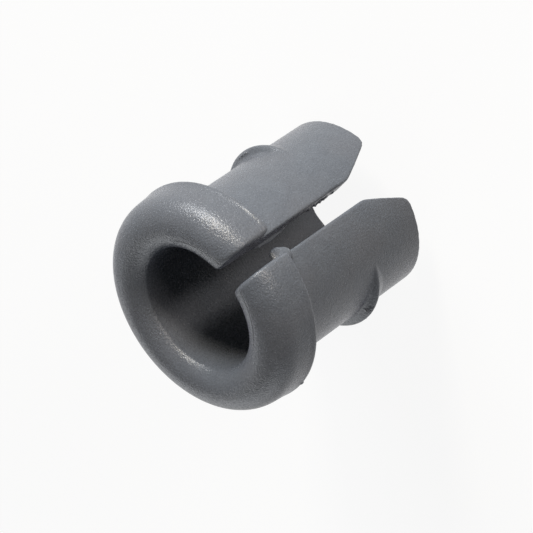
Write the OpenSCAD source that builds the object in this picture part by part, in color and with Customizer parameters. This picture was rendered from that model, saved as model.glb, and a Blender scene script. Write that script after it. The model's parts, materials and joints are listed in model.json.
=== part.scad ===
// Split snap-in bushing of soft rubber: a domed ring head with a bell-mouthed bore, a thin round
// barrel slit along one side, two crescent barbs and a V mouth between two rounded prong tips.
// +Z runs along the bore and out of the head. The origin is on the bore's axis in the plane of
// the head's flat rear face, which seats on the panel. The slot faces -Y.

/* [Barrel] */
// Outside diameter of the barrel, a light push fit in the panel hole
barrel_d = 12; // [10:0.25:16]
// Thickness of the wall between the barrel's outside and the bore that the cable runs through
wall = 1.75; // [1.4:0.05:2.4]
// Length of the barrel on its axis, from the rear face of the head to the tail
barrel_l = 12.45; // [10:0.25:18]
// Slope of the tail end, which leaves the slot side shorter
tail_slope = 7; // [0:0.5:9]
// Radius of the fillet between the barrel and the rear face of the head
neck_r = 0.3; // [0.1:0.05:0.5]

/* [Head] */
// How far the rim of the head reaches past the barrel, which is what seats on the panel
head_over = 1.6; // [1.2:0.1:3]
// Height of the head over the panel
head_h = 3.3; // [2.8:0.1:4.5]
// Radius of the domed outer edge
dome_r = 1.8; // [1.5:0.1:2.2]
// Draft of the head's side, which narrows towards the dome
head_draft = 5; // [0:0.5:8]
// Angle at the throat, where the bell mouth ends in the bore, between the bore and the bell
throat_angle = 28; // [15:1:45]
// Height of the narrow land round the rear rim, where the two halves of a mould meet
land_h = 0.3; // [0.2:0.05:0.5]
// How far the land stands out from the side of the head
land_over = 0.05; // [0.02:0.01:0.1]
// Radius of the rear rim
rim_r = 0.15; // [0.05:0.05:0.2]

/* [Slot] */
// Width of the slot along the whole length
slot_w = 1.5; // [1:0.1:2]
// Radius on the long edges of the slot, over the head, along the barrel and inside the bore
slot_edge_r = 0.2; // [0.1:0.05:0.3]
// Length of the V mouth over the tail end
mouth_l = 3.25; // [2:0.25:4]
// Angle between each side of the V mouth and the slot
mouth_angle = 24.5; // [15:0.5:32]
// Radius where the slot opens into the V mouth
mouth_r = 1.6; // [0.8:0.1:2.4]
// Radius of the two prong tips
tip_r = 0.85; // [0.4:0.05:1]

/* [Barbs] */
// Distance from the rear face of the head to the foot of each barb, which holds the panel
grip_l = 7.1; // [3:0.1:8]
// Height of each barb over the barrel
barb_h = 0.7; // [0.4:0.05:1]
// Length of the steep shoulder that faces the head
shoulder_l = 0.4; // [0.2:0.05:0.8]
// Length of the ramp that runs out towards the tail
ramp_l = 1.4; // [1:0.1:2.5]
// Radius along the crest of each barb
crest_r = 0.15; // [0.05:0.05:0.2]
// Half of the angle that each barb covers round the barrel
barb_half_angle = 44; // [25:1:55]

/* [Hidden] */
$fn = 96;
past = 1; // how far a cutter passes the surface that it cuts
barrel_r = barrel_d / 2;
bore_r = barrel_r - wall;
head_r = barrel_r + head_over;

// Rounded to a micron, which keeps faces that meet exactly in line
function to_micron(length) = round(1000 * length) / 1000;

// The dome's arc reaches the top of the head, and swells over the drafted side by a hair, so
// that it crosses the side's line and doesn't just touch it
dome_swell = 0.002;
dome_z = head_h - dome_r;
side_r = head_r - land_over;
ring_r = to_micron(side_r - dome_z * tan(head_draft) - (dome_r - dome_swell) / cos(head_draft));

// The bell mouth shares the top of the dome and meets the bore at the throat
lip_r = to_micron((ring_r - bore_r) / cos(throat_angle));
lip_z = head_h - lip_r;
throat_z = to_micron(lip_z + lip_r * sin(throat_angle));

// The slot's rounded edges run in this plane beside its wall
edge_x = slot_w / 2 + slot_edge_r;
// How far out a turned face of radius r lies in that plane
function at_edge(r) = to_micron(sqrt(pow(r, 2) - pow(edge_x, 2)));

// Each barb is turned on an axis of its own, so that it dies away into the barrel at both ends
barb_r = barrel_r + barb_h;
barb_x = (pow(barb_r, 2) - pow(barrel_r, 2)) / (2 * (barb_r - barrel_r * cos(barb_half_angle)));
barb_foot = barrel_r - barb_x;
barb_sink = 0.5; // how deep the barb's slopes run on inside the barrel's wall

// Unit vector from one point to another
function towards(a, b) = (b - a) / norm(b - a);
// Distance from a corner to where an arc of radius r touches its sides
function tangent_l(a, corner, b, r) =
    r / tan(acos(towards(corner, a) * towards(corner, b)) / 2);
// The arc's touching point on the side that runs from the corner to a
function touch(a, corner, b, r) = corner + towards(corner, a) * tangent_l(a, corner, b, r);
// Centre of the arc of radius r that rounds a corner
function arc_centre(a, corner, b, r) =
    corner + towards([0, 0], towards(corner, a) + towards(corner, b))
    * norm([r, tangent_l(a, corner, b, r)]);

// Points of that arc, for a small corner
function round_corner(a, corner, b, r, steps = 4) =
    let (
        centre = arc_centre(a, corner, b, r),
        from = touch(a, corner, b, r) - centre,
        to = touch(b, corner, a, r) - centre
    )
    [for (i = [0 : steps])
        centre + r * towards([0, 0], from * (steps - i) / steps + to * i / steps)];

// Section of the head: the land at the rear rim, the drafted side, the dome and the bell mouth
module head_section() {
    land_top = land_h + land_over;
    difference() {
        polygon([
            [0, 0],
            each round_corner([0, 0], [head_r, 0], [head_r, land_h], rim_r),
            [head_r, land_h],
            [side_r - land_top * tan(head_draft), land_top],
            [side_r - (head_h + past) * tan(head_draft), head_h + past],
            [0, head_h + past],
        ]);
        // The dome runs from the side to the top, and the bell mouth from there inwards
        translate([ring_r, dome_z]) outside_arc(dome_r, head_draft);
        translate([ring_r, lip_z]) mirror([1, 0]) outside_arc(lip_r, 0);
    }
}

// What lies outside an arc of radius r, from a start angle up to 90 degrees
module outside_arc(r, start) {
    far = 2 * head_r;
    difference() {
        polygon([[0, 0], far * [cos(start), sin(start)], [far, far], [0, far]]);
        circle(r);
    }
}

// Section of the fillet between the barrel and the rear face of the head
module neck_section() {
    difference() {
        translate([barrel_r - neck_r, -neck_r]) square(2 * neck_r);
        translate([barrel_r + neck_r, -neck_r]) circle(neck_r);
    }
}

// One barb, half of a low cone on an axis beside the barrel's, with a round crest
module barb() {
    crest = [barb_foot + barb_h, -grip_l - shoulder_l];
    top = [barb_foot, -grip_l];
    bottom = [barb_foot, -grip_l - shoulder_l - ramp_l];
    // The slopes run on into the wall, so that their ends stay hidden
    top_in = top + towards(crest, top) * barb_sink;
    bottom_in = bottom + towards(crest, bottom) * barb_sink;
    translate([barb_x, 0, 0]) rotate(-90) rotate_extrude(angle = 180) polygon([
        [0, top_in.y],
        top_in,
        each round_corner(top, crest, bottom, crest_r),
        bottom_in,
        [0, bottom_in.y],
    ]);
}

// Outline of the V mouth seen along the end face: x across the slot, y up from the end
module mouth_outline() {
    edge = [slot_w / 2 + mouth_l * tan(mouth_angle), 0];
    bend = [slot_w / 2, mouth_l];
    above = bend + [0, mouth_r];
    beside = edge + [tip_r, 0];
    tip = round_corner(beside, edge, bend, tip_r, 8);
    bow = round_corner(edge, bend, above, mouth_r, 8);
    half = [[tip[0].x, -past], each tip, each bow];
    polygon([each half, each [for (i = [len(half) - 1 : -1 : 0]) [-half[i].x, half[i].y]]]);
}

// The V mouth, which opens through the wall on the slot's side only
module mouth_cut() {
    rotate([90, 0, 0]) linear_extrude(2 * head_r) mouth_outline();
}

// Everything past the sloping tail end
module tail_cut() {
    translate([-2 * head_r, -2 * head_r, -2 * barrel_l])
        cube([4 * head_r, 4 * head_r, 2 * barrel_l]);
}

// Puts a cutter in the frame of the tail end, whose slot side is the shorter
module on_tail() {
    translate([0, 0, -barrel_l]) rotate([-tail_slope, 0, 0]) children();
}

// Section of what comes off both long edges of the slot, under a face at distance face_y: each
// edge takes a few flats round an arc, and the end flats run on through the wall and the face
module edge_section(face_y, steps = 4) {
    centre = [edge_x, face_y - slot_edge_r];
    arc = [for (i = [0 : steps])
        centre + slot_edge_r * [-sin(90 * i / steps), cos(90 * i / steps)]];
    over = 2 * arc[0] - arc[1];
    under = 2 * arc[steps] - arc[steps - 1];
    half = [[over.x, face_y + past], over, each [for (i = [1 : steps - 1]) arc[i]], under];
    polygon([each half, each [for (i = [len(half) - 1 : -1 : 0]) [-half[i].x, half[i].y]]]);
}

// What comes off the slot's edges along the barrel's outside
module barrel_edges() {
    face_y = at_edge(barrel_r - slot_edge_r) + slot_edge_r;
    translate([0, 0, -2 * barrel_l]) linear_extrude(2 * barrel_l - neck_r)
        mirror([0, 1]) edge_section(face_y);
}

// What comes off the slot's edges inside the bore, up to the throat
module bore_edges() {
    face_y = at_edge(bore_r + slot_edge_r) - slot_edge_r;
    translate([0, 0, -2 * barrel_l]) linear_extrude(2 * barrel_l + throat_z)
        edge_section(-face_y);
}

// What comes off the slot's edges over the head: up its side, over the dome and down into the
// bell mouth, each in the sector that its arc fills
module head_edges() {
    far = 4 * head_r;
    translate([0, -at_edge(ring_r), 0]) {
        translate([0, 0, dome_z]) rotate([-head_draft, 0, 0])
            translate([0, 0, -dome_z - past]) linear_extrude(dome_z + past)
                mirror([0, 1]) edge_section(dome_r);
        intersection() {
            translate([0, 0, dome_z]) arc_edges(dome_r);
            translate([-far / 2, -far, 0]) cube(far);
            translate([0, 0, dome_z]) rotate([-head_draft, 0, 0])
                translate([-far / 2, -far / 2, 0]) cube(far);
        }
        intersection() {
            translate([0, 0, lip_z]) arc_edges(lip_r);
            translate([-far / 2, 0, throat_z]) cube(far);
        }
    }
}

// The slot edges' section, turned round an arc of the head's section
module arc_edges(arc_r) {
    rotate([0, 90, 0]) rotate_extrude() rotate(-90) edge_section(arc_r);
}

// The slot with its long edges rounded
module slot_cut() {
    translate([-slot_w / 2, -2 * head_r, -2 * barrel_l])
        cube([slot_w, 2 * head_r, 2 * barrel_l + head_h + past]);
    barrel_edges();
    bore_edges();
    head_edges();
}

module grommet() {
    color([0.32, 0.35, 0.38]) difference() {
        union() {
            rotate_extrude() {
                head_section();
                neck_section();
                translate([0, -2 * barrel_l]) square([barrel_r, 2 * barrel_l + lip_z]);
            }
            for (side = [0, 1]) mirror([side, 0, 0]) barb();
        }
        translate([0, 0, -3 * barrel_l]) cylinder(r = bore_r, h = 3 * barrel_l + head_h + past);
        slot_cut();
        on_tail() mouth_cut();
        on_tail() tail_cut();
    }
}

grommet();
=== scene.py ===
# A split snap-in grommet of soft grey rubber, standing on its tail with its domed head up.
# The whole grommet is one moulding, so it is one piece here. It is turned and cut from simple
# shapes, melted into one skin with soft moulded edges, given the small nubs and flash that its
# mould left, and finished in satin rubber.
# Lengths are in metres. +Z runs along the bore and out of the head, and the slot faces -Y.
import json
from math import cos, degrees, hypot, pi, radians, sin, tan
from random import Random

import bpy
from mathutils import Euler, Matrix, Vector


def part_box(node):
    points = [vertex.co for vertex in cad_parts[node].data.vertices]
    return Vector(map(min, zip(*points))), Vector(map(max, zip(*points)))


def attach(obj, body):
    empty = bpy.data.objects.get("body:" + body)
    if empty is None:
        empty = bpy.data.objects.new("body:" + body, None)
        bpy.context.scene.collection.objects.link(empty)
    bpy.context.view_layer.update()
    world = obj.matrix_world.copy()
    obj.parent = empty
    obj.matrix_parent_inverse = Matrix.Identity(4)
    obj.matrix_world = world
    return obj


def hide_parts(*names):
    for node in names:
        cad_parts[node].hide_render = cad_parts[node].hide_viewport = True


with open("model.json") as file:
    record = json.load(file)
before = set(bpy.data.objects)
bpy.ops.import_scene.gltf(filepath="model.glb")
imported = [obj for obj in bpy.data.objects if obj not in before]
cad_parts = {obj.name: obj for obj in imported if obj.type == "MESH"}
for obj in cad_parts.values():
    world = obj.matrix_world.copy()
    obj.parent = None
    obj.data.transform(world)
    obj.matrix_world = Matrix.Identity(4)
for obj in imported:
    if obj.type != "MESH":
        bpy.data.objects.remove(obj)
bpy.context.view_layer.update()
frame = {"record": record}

MM = 0.001


# Sizes that the frame holds

def mount(name):
    """The record's mount of that name."""
    return next(m for m in frame["record"]["mounts"] if m["name"] == name)


low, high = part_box("grommet")
bore_r = mount("cable_bore")["dims"]["r_mm"] * MM
barrel_r = mount("panel_hole")["dims"]["r_mm"] * MM
grip_l = mount("panel_hole")["dims"]["length_mm"] * MM
head_r = high.x
head_h = high.z

# Sizes of the moulding, as its drawing has them
barrel_l = 12.45 * MM
tail_slope = radians(7)
neck_r = 0.3 * MM
dome_r = 1.8 * MM
head_draft = radians(5)
throat_angle = radians(28)
land_h = 0.3 * MM
land_over = 0.05 * MM
rim_r = 0.15 * MM
slot_w = 1.5 * MM
mouth_l = 3.25 * MM
mouth_angle = radians(24.5)
mouth_r = 1.6 * MM
tip_r = 0.85 * MM
barb_h = 0.7 * MM
shoulder_l = 0.4 * MM
ramp_l = 1.4 * MM
barb_half_angle = radians(44)

# The barbs' crest is sharper than in the drawing, because the skin's smoothing rounds it
crest_r = 0.12 * MM

# How far a cutter passes what it cuts, and how deep a barb's slopes run on inside the wall
past = MM
barb_sink = 0.25 * MM

# Points nearer to each other than this are one
merge_gap = 0.001 * MM

# How fine the moulding's skin is
skin_voxel = 0.06 * MM
skin_triangles = 190000

# The rubber: its colours, its gloss and the pale bloom on it
dark_rubber = (0.062, 0.070, 0.083, 1)
pale_rubber = (0.072, 0.081, 0.095, 1)
warm_rubber = (0.076, 0.078, 0.087, 1)
# A paler colour painted as a highlight on a band beside the parting ring, and a dark one painted
# as shade in the ring's groove, which also darkens the grain's low spots a little
ring_highlight_rubber = (0.122, 0.134, 0.148, 1)
groove_shade_and_grain_rubber = (0.018, 0.020, 0.024, 1)
rough_low = 0.23
rough_high = 0.33
gloss_level = 0.29
bloom_colour = (0.80, 0.80, 1.0, 1)
bloom_level = 0.06
bloom_roughness = 0.4

# The rubber's patterns, by size and by the height of their relief
grain_size = 0.13 * MM
grain_height = 0.042 * MM
mottle_size = 0.9 * MM
cloud_size = 3.5 * MM
wave_size = 0.6 * MM
wave_height = 0.02 * MM

# The parting ring that the mould left on the dome, on a centre nearer the slot
parting_r = 4.48 * MM
parting_centre = (0, -1.22 * MM, 0)
groove_depth = 0.04 * MM

# The table and the room
table_w = 4
table_colour = (0.9, 0.9, 0.9, 1)
table_roughness = 0.9
table_glow = 0.90
backdrop_colour = (0.8, 0.8, 0.8, 1)
fill_colour = (0.92, 0.96, 1.0, 1)
fill_strength = 0.10
warm_light = (1.0, 0.91, 0.76)
rosy_light = (1.0, 0.90, 0.82)
cool_light = (0.93, 0.96, 1.0)

# What the camera and the lamps are aimed at
aim = Vector((-0.28, 0.02, -3.77)) * MM

# The camera's turn from looking straight down, its distance, and its sensor and lens, which
# are in millimetres
camera_tilt = radians(52.40)
camera_swing = radians(-4.75)
camera_roll = radians(-124.85)
camera_distance = 169.76 * MM
sensor_w = 36
lens_l = 182.2

# What is strewn at random is the same each time
chance = Random(12)


# Modelling by hand, with Blender's own operators

def choose(piece):
    """Makes the piece the only selected object, and the active one."""
    bpy.ops.object.select_all(action="DESELECT")
    piece.select_set(True)
    bpy.context.view_layer.objects.active = piece


def start_mesh(name, place):
    """A new mesh of one vertex, open for editing."""
    bpy.ops.object.select_all(action="DESELECT")
    bpy.ops.mesh.primitive_plane_add(size=MM, location=(0, 0, 0))
    piece = bpy.context.object
    piece.name = piece.data.name = name
    bpy.ops.object.mode_set(mode="EDIT")
    bpy.ops.mesh.select_all(action="SELECT")
    bpy.ops.mesh.merge(type="CENTER")
    bpy.ops.transform.translate(value=place)
    return piece


def draw_line(points):
    """Draws on from the selected vertex, from each point to the next."""
    for here, there in zip(points, points[1:]):
        step = Vector(there) - Vector(here)
        bpy.ops.mesh.extrude_vertices_move(TRANSFORM_OT_translate={"value": step})


def draw_loop(name, points):
    """A new mesh with one closed line through the points, selected and open for editing."""
    piece = start_mesh(name, points[0])
    draw_line(points + points[:1])
    bpy.ops.mesh.select_all(action="SELECT")
    bpy.ops.mesh.remove_doubles(threshold=merge_gap)
    return piece


def close_mesh():
    """Merges what meets, turns the faces outwards and leaves edit mode."""
    bpy.ops.mesh.select_all(action="SELECT")
    bpy.ops.mesh.remove_doubles(threshold=merge_gap)
    bpy.ops.mesh.normals_make_consistent(inside=False)
    bpy.ops.object.mode_set(mode="OBJECT")


def turned(name, section, steps=256):
    """A solid turned all the way round from a closed section of (radius, height) points."""
    piece = draw_loop(name, [(r, 0, z) for r, z in section])
    bpy.ops.mesh.spin(steps=steps, angle=2 * pi, center=(0, 0, 0), axis=(0, 0, 1))
    close_mesh()
    return piece


def half_turned(name, section, axis_x, steps=96):
    """Half a turn of a section about an upright axis at axis_x, on the side that axis_x is on."""
    piece = draw_loop(name, [(axis_x, -r, z) for r, z in section])
    bpy.ops.mesh.edge_face_add()
    side = -1 if axis_x > 0 else 1
    bpy.ops.mesh.spin(steps=steps, angle=side * pi, center=(axis_x, 0, 0), axis=(0, 0, 1))
    close_mesh()
    return piece


def bar(name, outline, depth):
    """A bar with an outline of (x, z) points, from the plane y = 0 towards -Y."""
    piece = draw_loop(name, [(x, 0, z) for x, z in outline])
    bpy.ops.mesh.edge_face_add()
    bpy.ops.mesh.extrude_region_move(TRANSFORM_OT_translate={"value": (0, -depth, 0)})
    close_mesh()
    return piece


def lump(place, half_sizes, turn=(0, 0, 0)):
    """A small egg of rubber, to be melted into the skin."""
    bpy.ops.object.select_all(action="DESELECT")
    bpy.ops.mesh.primitive_uv_sphere_add(segments=20, ring_count=12, radius=1)
    piece = bpy.context.object
    piece.location = place
    piece.scale = half_sizes
    piece.rotation_euler = turn
    apply_place(piece)
    return piece


def apply_place(piece):
    """Moves the piece's place, turn and scale into its mesh."""
    choose(piece)
    bpy.ops.object.transform_apply(location=True, rotation=True, scale=True)


def finish_with(piece, kind, **settings):
    """Adds a modifier and applies it."""
    choose(piece)
    modifier = piece.modifiers.new(kind.title(), kind)
    for name, value in settings.items():
        setattr(modifier, name, value)
    bpy.ops.object.modifier_apply(modifier=modifier.name)


def cut(piece, cutter):
    """Cuts the cutter out of the piece and throws the cutter away."""
    finish_with(piece, "BOOLEAN", operation="DIFFERENCE", solver="EXACT", object=cutter)
    bpy.data.objects.remove(cutter)


def melt_in(piece, others):
    """Joins the others to the piece, and melts them all into one skin."""
    choose(piece)
    for other in others:
        other.select_set(True)
    bpy.ops.object.join()
    finish_with(piece, "REMESH", mode="VOXEL", voxel_size=skin_voxel, adaptivity=0)


def keep_largest(piece):
    """Splits off what isn't joined to the rest, and keeps the largest body."""
    name = piece.name
    choose(piece)
    bpy.ops.object.mode_set(mode="EDIT")
    bpy.ops.mesh.select_all(action="SELECT")
    bpy.ops.mesh.separate(type="LOOSE")
    bpy.ops.object.mode_set(mode="OBJECT")
    bodies = sorted(bpy.context.selected_objects, key=lambda body: len(body.data.vertices))
    largest = bodies.pop()
    for body in bodies:
        bpy.data.objects.remove(body)
    largest.name = largest.data.name = name
    return largest


def soften(piece, share, passes):
    """Smooths the piece by each vertex's share, which is worked out from its place."""
    group = piece.vertex_groups.new(name="soft")
    for vertex in piece.data.vertices:
        weight = share(vertex.co)
        if weight > 0:
            group.add([vertex.index], weight, "REPLACE")
    finish_with(piece, "SMOOTH", factor=0.5, iterations=passes, vertex_group="soft")
    piece.vertex_groups.remove(piece.vertex_groups["soft"])


# Outlines

def arc(x, y, r, start, end, steps=12):
    """Points along an arc, from one angle in degrees to another."""
    turns = [radians(start + (end - start) * i / steps) for i in range(steps + 1)]
    return [(x + r * cos(a), y + r * sin(a)) for a in turns]


def rounded(a, corner, b, r, steps=10):
    """Points along the arc of radius r that rounds a corner between two others."""
    corner = Vector(corner)
    to_a = (Vector(a) - corner).normalized()
    to_b = (Vector(b) - corner).normalized()
    touch = r / tan(to_a.angle(to_b) / 2)
    centre = corner + (to_a + to_b).normalized() * hypot(r, touch)
    start = corner + to_a * touch - centre
    end = corner + to_b * touch - centre
    points = [centre + start.lerp(end, i / steps).normalized() * r for i in range(steps + 1)]
    return [tuple(p) for p in points]


def body_section():
    """The head and the barrel, from the throat over the dome and down to past the tail."""
    dome_z = head_h - dome_r
    side_r = head_r - land_over
    ring_r = side_r - dome_z * tan(head_draft) - dome_r / cos(head_draft)
    lip_r = (ring_r - bore_r) / cos(throat_angle)
    land_top = land_h + land_over
    end_z = -1.5 * barrel_l
    section = [(bore_r, end_z)]
    section += arc(ring_r, head_h - lip_r, lip_r, 180 - degrees(throat_angle), 90)
    section += arc(ring_r, dome_z, dome_r, 90, degrees(head_draft))[1:]
    section += [(side_r - land_top * tan(head_draft), land_top), (head_r, land_h)]
    section += arc(head_r - rim_r, rim_r, rim_r, 0, -90, 6)
    section += arc(barrel_r + neck_r, -neck_r, neck_r, 90, 180, 6)
    section += [(barrel_r, end_z)]
    return section


def barb_section():
    """One barb's section, measured from the barb's own axis, and how far out that axis is."""
    barb_r = barrel_r + barb_h
    axis_x = (barb_r**2 - barrel_r**2) / (2 * (barb_r - barrel_r * cos(barb_half_angle)))
    foot = barrel_r - axis_x
    crest = Vector((foot + barb_h, -grip_l - shoulder_l))
    top = Vector((foot, -grip_l))
    bottom = Vector((foot, -grip_l - shoulder_l - ramp_l))
    top_in = top + (top - crest).normalized() * barb_sink
    bottom_in = bottom + (bottom - crest).normalized() * barb_sink
    inner = foot - barb_sink
    section = [(inner, top_in.y), tuple(top_in)]
    section += rounded(top, crest, bottom, crest_r, 4)
    section += [tuple(bottom_in), (inner, bottom_in.y)]
    return section, axis_x


def slot_outline():
    """The slot seen from the front, with x across it and z up."""
    side = slot_w / 2
    top = head_h + past
    bottom = -2 * barrel_l
    return [(-side, top), (-side, bottom), (side, bottom), (side, top)]


def mouth_outline():
    """The V mouth seen along the end face, with x across the slot and z up from the end."""
    edge = (slot_w / 2 + mouth_l * tan(mouth_angle), 0)
    bend = (slot_w / 2, mouth_l)
    above = (bend[0], bend[1] + mouth_r)
    beside = (edge[0] + tip_r, 0)
    tip = rounded(beside, edge, bend, tip_r)
    half = [(tip[0][0], -past)] + tip + rounded(edge, bend, above, mouth_r)
    return half + [(-x, z) for x, z in reversed(half)]


# The grommet

def make_blank():
    """The turned and cut body with sharp edges, and the two barbs that melt into it."""
    body = turned("grommet_rubber", body_section())
    cut(body, bar("slot", slot_outline(), 2 * head_r))

    mouth = bar("mouth", mouth_outline(), 2 * head_r)
    mouth.rotation_euler.x = -tail_slope
    mouth.location.z = -barrel_l
    apply_place(mouth)
    cut(body, mouth)

    choose(body)
    bpy.ops.object.mode_set(mode="EDIT")
    bpy.ops.mesh.select_all(action="SELECT")
    bpy.ops.mesh.bisect(
        plane_co=(0, 0, -barrel_l),
        plane_no=(0, -sin(tail_slope), -cos(tail_slope)),
        use_fill=True,
        clear_outer=True,
    )
    close_mesh()
    section, axis_x = barb_section()
    return body, [half_turned("barb", section, axis_x), half_turned("barb", section, -axis_x)]


def fade(value, start, end):
    """From 0 at the start to 1 at the end."""
    return min(1.0, max(0.0, (value - start) / (end - start)))


def slot_edge_share(place):
    """How much of the softening of the slot's edges a place takes: none near the V mouth."""
    reach = 1.5 * MM
    if place.y > 0 or abs(place.x) > reach:
        return 0
    beside_slot = fade(abs(place.x), reach, 1.1 * MM)
    above_mouth = fade(place.z, -9.5 * MM, -7.5 * MM)
    return beside_slot * above_mouth


def head_edge_share(place):
    """How much a place takes of the further softening of the slot's edges on the head."""
    if place.y > 0 or abs(place.x) > 2.2 * MM:
        return 0
    # The edge on -X is the crisper one, and the softening narrows towards the rear rim
    side = 1.0 if place.x > 0 else 0.5
    reach = (2.2 - 0.8 * fade(place.z, 1.2 * MM, 0.5 * MM)) * MM
    beside_slot = fade(abs(place.x), reach, reach - 0.7 * MM)
    on_head = fade(place.z, -0.3 * MM, 0.5 * MM)
    return side * beside_slot * on_head


def rim_share(place):
    """How much a place takes of the softening of the rear rim: most on -X and by the slot."""
    rim_top = 0.8 * MM
    if hypot(place.x, place.y) < 7.0 * MM or place.z > rim_top:
        return 0
    on_low_x = fade(place.x, 1.0 * MM, -1.0 * MM)
    on_high_x = 0.8 * fade(place.x, 2.6 * MM, 4.0 * MM)
    by_slot = fade(place.x, 1.4 * MM, 1.1 * MM) if place.y < 0 else 0
    return max(on_low_x, on_high_x, by_slot) * fade(place.z, rim_top, 0.5 * MM)


def barb_foot_share(place):
    """How much a place takes of the blend between the +X barb's shoulder and the barrel."""
    if place.x < 0 or hypot(place.x, place.y) < 5.7 * MM:
        return 0
    above_crest = fade(place.z, -7.75 * MM, -7.4 * MM)
    near_barb = fade(place.z, -6.3 * MM, -6.7 * MM)
    return above_crest * near_barb


def in_mm(x, y, z):
    """A place or a size that is given in millimetres."""
    return Vector((x, y, z)) * MM


def round_place(r, angle, z):
    """A place at a radius, an angle in degrees from the slot towards +X, and a height."""
    a = radians(angle)
    return in_mm(r * sin(a), -r * cos(a), z)


def speckles(count, corner, far_corner, smallest, largest):
    """Small lumps of flash, strewn through a box in millimetres."""
    lumps = []
    for _ in range(count):
        place = [chance.uniform(a, b) for a, b in zip(corner, far_corner)]
        size = [chance.uniform(smallest, largest) for _ in range(3)]
        turn = [chance.uniform(0, pi) for _ in range(3)]
        lumps.append(lump(in_mm(*place), in_mm(*size), turn))
    return lumps


def moulding_marks():
    """The nubs and flash that the mould left."""
    # A nub with its tip sticks into the slot behind the head, with a long fin across from it
    slot_nub = lump(in_mm(-0.78, -5.95, -0.55), in_mm(0.56, 0.30, 0.78))
    slot_tip = lump(in_mm(-0.42, -5.93, -0.36), in_mm(0.32, 0.25, 0.56))
    slot_fin = lump(in_mm(0.68, -4.36, -1.85), in_mm(0.22, 0.09, 1.5))
    rim_nub = lump(round_place(7.42, -84, 0.22), in_mm(0.22, 0.18, 0.22))
    marks = [slot_nub, slot_tip, slot_fin, rim_nub]

    # Two seams cross the -X barb
    for angle, z in ((-82.2, -7.28), (-79.0, -7.40)):
        across = (0, 0, radians(angle - 90))
        marks.append(lump(round_place(6.36, angle, z), in_mm(0.30, 0.07, 0.10), across))

    # Specks of flash lie on the slot's +X wall, and a few flecks on the +X barb's shoulder
    marks += speckles(40, (0.72, -5.55, -7.6), (0.78, -4.35, -5.4), 0.05, 0.11)
    for angle, r in ((81, 6.38), (83, 6.42), (84, 6.30), (86, 6.44), (87, 6.32), (89, 6.40)):
        marks.append(lump(round_place(r, angle, -7.30), in_mm(0.08, 0.08, 0.08)))
    return marks


def make_grommet():
    """The whole moulding: one skin, soft at its edges, with the marks of its mould."""
    body, barbs = make_blank()
    melt_in(body, barbs)
    soften(body, slot_edge_share, passes=50)
    soften(body, head_edge_share, passes=130)
    soften(body, rim_share, passes=70)
    soften(body, barb_foot_share, passes=90)
    melt_in(body, moulding_marks())
    body = keep_largest(body)
    finish_with(body, "SMOOTH", factor=0.5, iterations=4)
    triangles = sum(len(face.vertices) - 2 for face in body.data.polygons)
    finish_with(body, "DECIMATE", ratio=min(1.0, skin_triangles / triangles))
    bpy.ops.object.shade_smooth()
    return body


# Finishes

def new_material(name):
    """An empty material, its nodes and its Principled shader."""
    material = bpy.data.materials.new(name)
    material.use_nodes = True
    return material, material.node_tree, material.node_tree.nodes["Principled BSDF"]


def feed(tree, source, target):
    """Links an output, or sets a plain value, on an input."""
    if isinstance(source, bpy.types.NodeSocket):
        tree.links.new(source, target)
    else:
        target.default_value = source


def reckon(tree, operation, *values):
    """A Math node's result."""
    node = tree.nodes.new("ShaderNodeMath")
    node.operation = operation
    for value, target in zip(values, node.inputs):
        feed(tree, value, target)
    return node.outputs[0]


def reckon_vector(tree, operation, *values):
    """A Vector Math node, of which the caller takes the output that it needs."""
    node = tree.nodes.new("ShaderNodeVectorMath")
    node.operation = operation
    for value, target in zip(values, node.inputs):
        feed(tree, value, target)
    return node


def noise(tree, place, size, detail=2.0, roughness=0.5):
    """Soft noise with features of about the given size."""
    node = tree.nodes.new("ShaderNodeTexNoise")
    node.inputs["Scale"].default_value = 1 / size
    node.inputs["Detail"].default_value = detail
    node.inputs["Roughness"].default_value = roughness
    tree.links.new(place, node.inputs["Vector"])
    return node.outputs["Fac"]


def ramp(tree, value, start, end, low_out=0.0, high_out=1.0):
    """The value, mapped from one range to another and kept inside it."""
    node = tree.nodes.new("ShaderNodeMapRange")
    node.inputs["From Min"].default_value = start
    node.inputs["From Max"].default_value = end
    node.inputs["To Min"].default_value = low_out
    node.inputs["To Max"].default_value = high_out
    tree.links.new(value, node.inputs["Value"])
    return node.outputs["Result"]


def mix_colour(tree, share, one, two):
    """A mix of two colours."""
    node = tree.nodes.new("ShaderNodeMix")
    node.data_type = "RGBA"
    feed(tree, share, node.inputs["Factor"])
    feed(tree, one, node.inputs["A"])
    feed(tree, two, node.inputs["B"])
    return node.outputs["Result"]


def bump(tree, height, distance, normal=None):
    """A relief of the given height, laid over another one."""
    node = tree.nodes.new("ShaderNodeBump")
    node.inputs["Strength"].default_value = 1.0
    node.inputs["Distance"].default_value = distance
    tree.links.new(height, node.inputs["Height"])
    if normal:
        tree.links.new(normal, node.inputs["Normal"])
    return node.outputs["Normal"]


def ring_distance(tree, place, centre, radius):
    """How far outside an upright ring a place lies."""
    shift = reckon_vector(tree, "SUBTRACT", place, centre).outputs[0]
    flat = reckon_vector(tree, "MULTIPLY", shift, (1, 1, 0)).outputs[0]
    length = reckon_vector(tree, "LENGTH", flat).outputs["Value"]
    return reckon(tree, "SUBTRACT", length, radius)


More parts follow.
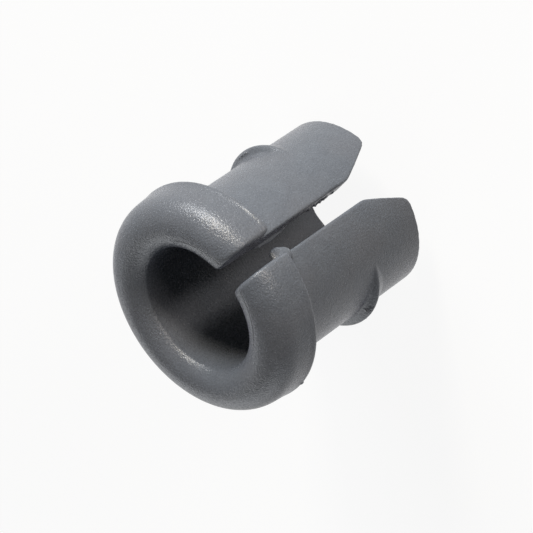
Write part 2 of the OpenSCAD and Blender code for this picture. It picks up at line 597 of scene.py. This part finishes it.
def parting_ring(tree, place):
    """Where the parting ring's groove is, for its relief and its painted shade, and where the
    painted highlight on the band beside it is.
    """
    spot = tree.nodes.new("ShaderNodeSeparateXYZ")
    tree.links.new(place, spot.inputs[0])
    off_ring = ring_distance(tree, place, parting_centre, parting_r)
    on_top = ramp(tree, spot.outputs["Z"], 2.6 * MM, 2.9 * MM)
    near_slot = ramp(tree, spot.outputs["Y"], -2.6 * MM, -4.2 * MM)
    seen = reckon(tree, "MULTIPLY", on_top, near_slot)
    # The groove, both for its relief and for the painted shade in it
    groove_and_shade = ramp(tree, reckon(tree, "ABSOLUTE", off_ring), 0.06 * MM, 0.015 * MM)
    groove_and_shade = reckon(tree, "MULTIPLY", groove_and_shade, seen)
    # A painted highlight on a band just inside the ring, beside the groove
    highlight_band = reckon(tree, "MULTIPLY", ramp(tree, off_ring, -0.40 * MM, -0.12 * MM), seen)
    highlight_band = reckon(tree, "MULTIPLY", highlight_band, ramp(tree, off_ring, 0.02 * MM, -0.04 * MM))
    return groove_and_shade, highlight_band


def rubber_finish():
    """Satin moulded rubber: a fine even grain, faint mottling and the mould's parting ring, with
    painted shade in the ring's groove and a painted highlight beside it.
    """
    material, tree, shader = new_material("satin rubber")
    place = tree.nodes.new("ShaderNodeTexCoord").outputs["Object"]
    groove_and_shade, highlight_band = parting_ring(tree, place)
    mottle = noise(tree, place, mottle_size, 3, 0.6)
    cloud = noise(tree, place, cloud_size, 1)
    grain = noise(tree, place, grain_size, 2, 0.6)
    wave = noise(tree, place, wave_size, 2)

    tone = mix_colour(tree, ramp(tree, mottle, 0.3, 0.7), dark_rubber, pale_rubber)
    tone = mix_colour(tree, ramp(tree, cloud, 0.35, 0.65, 0, 0.35), tone, warm_rubber)
    # A painted highlight beside the parting ring, and painted shade in its groove
    tone = mix_colour(tree, reckon(tree, "MULTIPLY", highlight_band, 0.5), tone, ring_highlight_rubber)
    tone = mix_colour(tree, reckon(tree, "MULTIPLY", groove_and_shade, 0.7), tone, groove_shade_and_grain_rubber)
    tone = mix_colour(tree, ramp(tree, grain, 0.35, 0.65, 0.15, 0), tone, groove_shade_and_grain_rubber)
    tree.links.new(tone, shader.inputs["Base Color"])

    tree.links.new(ramp(tree, grain, 0.3, 0.7, rough_low, rough_high), shader.inputs["Roughness"])
    shader.inputs["Specular IOR Level"].default_value = gloss_level
    shader.inputs["Sheen Weight"].default_value = bloom_level
    shader.inputs["Sheen Tint"].default_value = bloom_colour
    shader.inputs["Sheen Roughness"].default_value = bloom_roughness

    relief = bump(tree, wave, wave_height)
    relief = bump(tree, grain, grain_height, relief)
    relief = bump(tree, reckon(tree, "MULTIPLY", groove_and_shade, -1), groove_depth, relief)
    tree.links.new(relief, shader.inputs["Normal"])
    return material


def background_rays(tree):
    """1 for a ray of the camera, or one that is reflected or refracted to here, else 0."""
    rays = tree.nodes.new("ShaderNodeLightPath")
    seen = reckon(tree, "ADD", rays.outputs["Is Camera Ray"], rays.outputs["Is Glossy Ray"])
    return reckon(tree, "ADD", seen, rays.outputs["Is Transmission Ray"])


def table_finish():
    """White to the camera and in reflections, yet it takes the grommet's shadow."""
    material, tree, shader = new_material("white table")
    shader.inputs["Base Color"].default_value = table_colour
    shader.inputs["Roughness"].default_value = table_roughness
    shader.inputs["Specular IOR Level"].default_value = 0.0
    glow = tree.nodes.new("ShaderNodeEmission")
    mix = tree.nodes.new("ShaderNodeMixShader")
    tree.links.new(reckon(tree, "MULTIPLY", background_rays(tree), table_glow), mix.inputs["Fac"])
    tree.links.new(shader.outputs[0], mix.inputs[1])
    tree.links.new(glow.outputs[0], mix.inputs[2])
    tree.links.new(mix.outputs[0], tree.nodes["Material Output"].inputs["Surface"])
    return material


# The studio

def make_room():
    """Soft even light all round, and pale where the room is seen, straight or in a reflection."""
    world = bpy.data.worlds.new("studio")
    bpy.context.scene.world = world
    world.use_nodes = True
    tree = world.node_tree
    fill = tree.nodes["Background"]
    fill.inputs["Color"].default_value = fill_colour
    fill.inputs["Strength"].default_value = fill_strength
    backdrop = tree.nodes.new("ShaderNodeBackground")
    backdrop.inputs["Color"].default_value = backdrop_colour
    mix = tree.nodes.new("ShaderNodeMixShader")
    tree.links.new(background_rays(tree), mix.inputs["Fac"])
    tree.links.new(fill.outputs[0], mix.inputs[1])
    tree.links.new(backdrop.outputs[0], mix.inputs[2])
    tree.links.new(mix.outputs[0], tree.nodes["World Output"].inputs["Surface"])


def make_camera():
    """A long lens, at the angle from which the head and the open slot both show."""
    data = bpy.data.cameras.new("camera")
    data.sensor_width = sensor_w
    data.lens = lens_l
    data.clip_start = MM
    data.clip_end = 10
    camera = bpy.data.objects.new("camera", data)
    turn = Euler((camera_tilt, 0, camera_swing)).to_matrix()
    turn = turn @ Matrix.Rotation(camera_roll, 3, "Z")
    place = aim + turn @ Vector((0, 0, camera_distance))
    camera.matrix_world = Matrix.Translation(place) @ turn.to_4x4()
    bpy.context.scene.collection.objects.link(camera)
    bpy.context.scene.camera = camera


def make_softbox(name, direction, distance, width, height, power, colour):
    """A softbox that faces the grommet from a direction."""
    data = bpy.data.lights.new(name, "AREA")
    data.shape = "RECTANGLE"
    data.size = width
    data.size_y = height
    data.energy = power
    data.color = colour
    lamp = bpy.data.objects.new(name, data)
    facing = Vector(direction).normalized()
    lamp.location = aim + facing * distance
    lamp.rotation_euler = facing.to_track_quat("Z", "Y").to_euler()
    lamp.visible_camera = False
    bpy.context.scene.collection.objects.link(lamp)


def make_lights():
    """A small warm key, a broad cool side light, one into the slot and a bounce from behind."""
    make_softbox("key", direction=(0.69, -0.67, 0.28), distance=0.30,
                 width=0.05, height=0.05, power=0.90, colour=warm_light)
    make_softbox("side", direction=(0.86, -0.48, 0.14), distance=0.35,
                 width=0.18, height=0.12, power=1.85, colour=cool_light)
    make_softbox("slot side", direction=(-0.03, -0.98, 0.16), distance=0.35,
                 width=0.07, height=0.12, power=0.75, colour=rosy_light)
    make_softbox("bounce", direction=(-0.45, 0.87, 0.20), distance=0.40,
                 width=0.60, height=0.30, power=1.0, colour=cool_light)


def make_table():
    """A plain table, level with the lowest point of the grommet."""
    bpy.ops.object.select_all(action="DESELECT")
    bpy.ops.mesh.primitive_plane_add(size=table_w, location=(0, 0, low.z))
    table = bpy.context.object
    table.name = "table"
    table.data.materials.append(table_finish())


make_camera()
make_room()
make_table()
make_lights()

grommet = make_grommet()
grommet.data.materials.clear()
grommet.data.materials.append(rubber_finish())
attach(grommet, "root")
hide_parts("grommet")

bpy.context.scene.view_settings.view_transform = "Standard"
